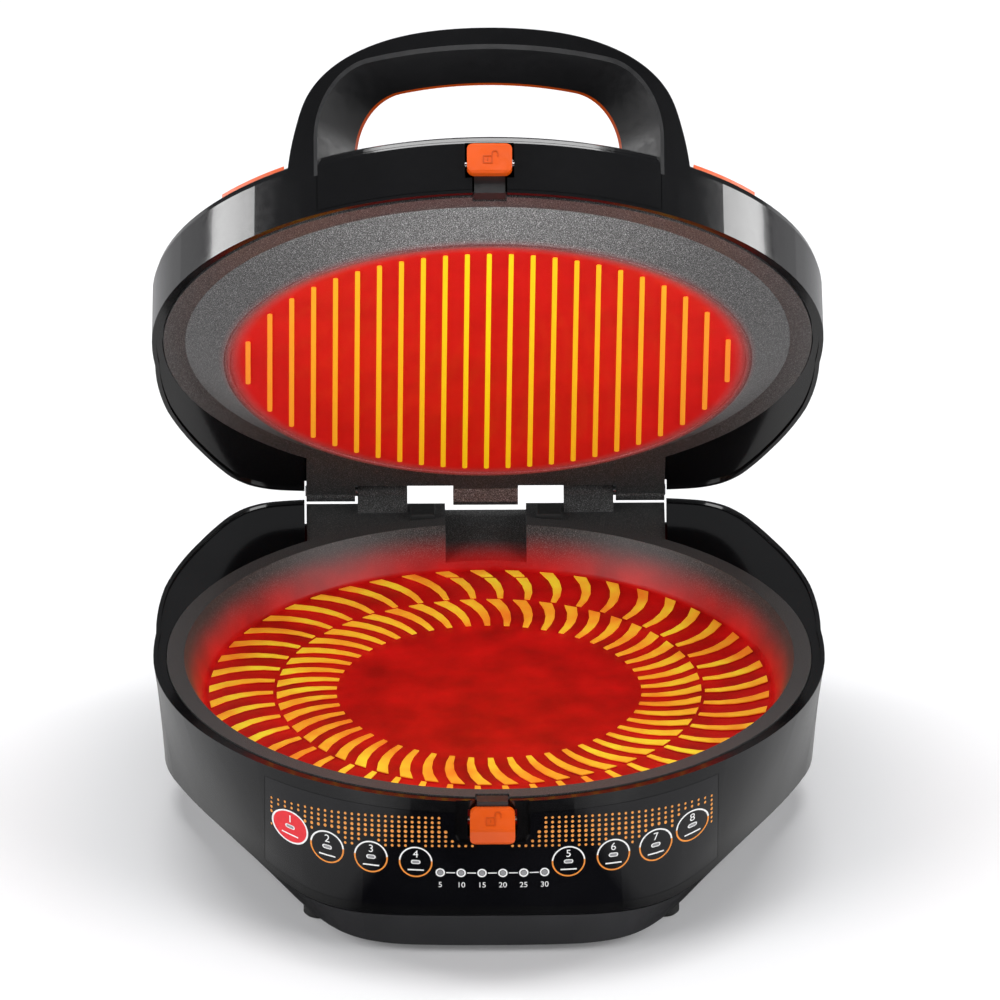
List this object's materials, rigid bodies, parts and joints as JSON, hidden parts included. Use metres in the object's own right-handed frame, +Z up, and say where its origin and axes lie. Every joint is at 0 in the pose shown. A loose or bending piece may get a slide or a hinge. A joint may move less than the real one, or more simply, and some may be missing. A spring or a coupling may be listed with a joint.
{
  "type": "electric baking pan",
  "caption": "Round countertop baking pan with a hinged heated lid, ribbed non-stick plates, an arched handle, a touch panel and two sprung plate release levers.",
  "frame": {"origin": "middle of the footprint on the table, with the lid open as pictured", "axes": "+Z up, +Y from the control panel's side to the hinge, +X to the right as seen from the control panel"},
  "size_m": [0.3698, 0.4102, 0.4601],
  "materials": {
    "black_gloss": "polished black moulding",
    "panel_gloss": "glossy black printed film",
    "cover_grey": "satin dark grey moulding",
    "black_matte": "fine satin black",
    "orange": "bright orange moulding",
    "casting": "dark grey granular non-stick coating",
    "steel": "plain steel",
    "reflector_steel": "bright sheet",
    "heater_tube": "dull steel tube",
    "rubber_black": "soft black rubber",
    "board_green": "circuit board laminate",
    "device_black": "electronic components",
    "lead_red": "insulated lead",
    "ceramic_white": "white terminal ceramic"
  },
  "bodies": {
    "base": {"base_cover": "cover_grey", "lower_shell": "black_gloss", "control_panel": "panel_gloss", "lower_pan": "casting", "lower_pan_floor": "casting", "lower_heater": "heater_tube", "lower_reflector": "reflector_steel", "reflector_screws": "steel", "lower_thermostat": "steel", "thermal_fuse": "steel", "hinge_pins": "steel", "rubber_stops": "rubber_black", "rubber_feet": "rubber_black", "base_screws": "steel", "cord_gland": "rubber_black", "control_board": "board_green", "control_board_parts": "device_black", "power_board": "board_green", "power_board_parts": "device_black", "base_wiring": "lead_red", "lower_lever_pin": "steel"},
    "lid": {"lid_shell": "black_gloss", "front_fascia": "black_gloss", "upper_plate": "casting", "handle_frame": "black_gloss", "handle_liner": "black_matte", "handle_trim": "orange", "side_trims": "orange", "upper_heater": "heater_tube", "upper_reflector": "reflector_steel", "lid_screws": "steel", "upper_thermostat": "steel", "lid_leads": "lead_red", "lid_terminal_block": "ceramic_white", "upper_lever_pin": "steel"},
    "lower_lever": {"lower_lever": "black_matte", "lower_lever_cap": "orange", "lower_lever_spring": "steel"},
    "upper_lever": {"upper_lever": "black_matte", "upper_lever_cap": "orange", "upper_lever_spring": "steel"}
  },
  "joints": [
    {"name": "lid_hinge", "type": "hinge", "parent": "base", "child": "lid", "pos_m": [0, 0.18885, 0.101], "axis": [-1, 0, 0], "range_deg": [-51.2, 48.8]},
    {"name": "lower_lever_pivot", "type": "hinge", "parent": "base", "child": "lower_lever", "pos_m": [0, -0.18815, 0.082], "axis": [1, 0, 0], "range_deg": [0, 11], "stiffness_Nm_per_rad": 0.1, "springref_deg": -17.19},
    {"name": "upper_lever_pivot", "type": "hinge", "parent": "lid", "child": "upper_lever", "pos_m": [0, -0.03632, 0.40499], "axis": [-1, 0, 0], "range_deg": [0, 11], "stiffness_Nm_per_rad": 0.1, "springref_deg": -17.19}
  ]
}
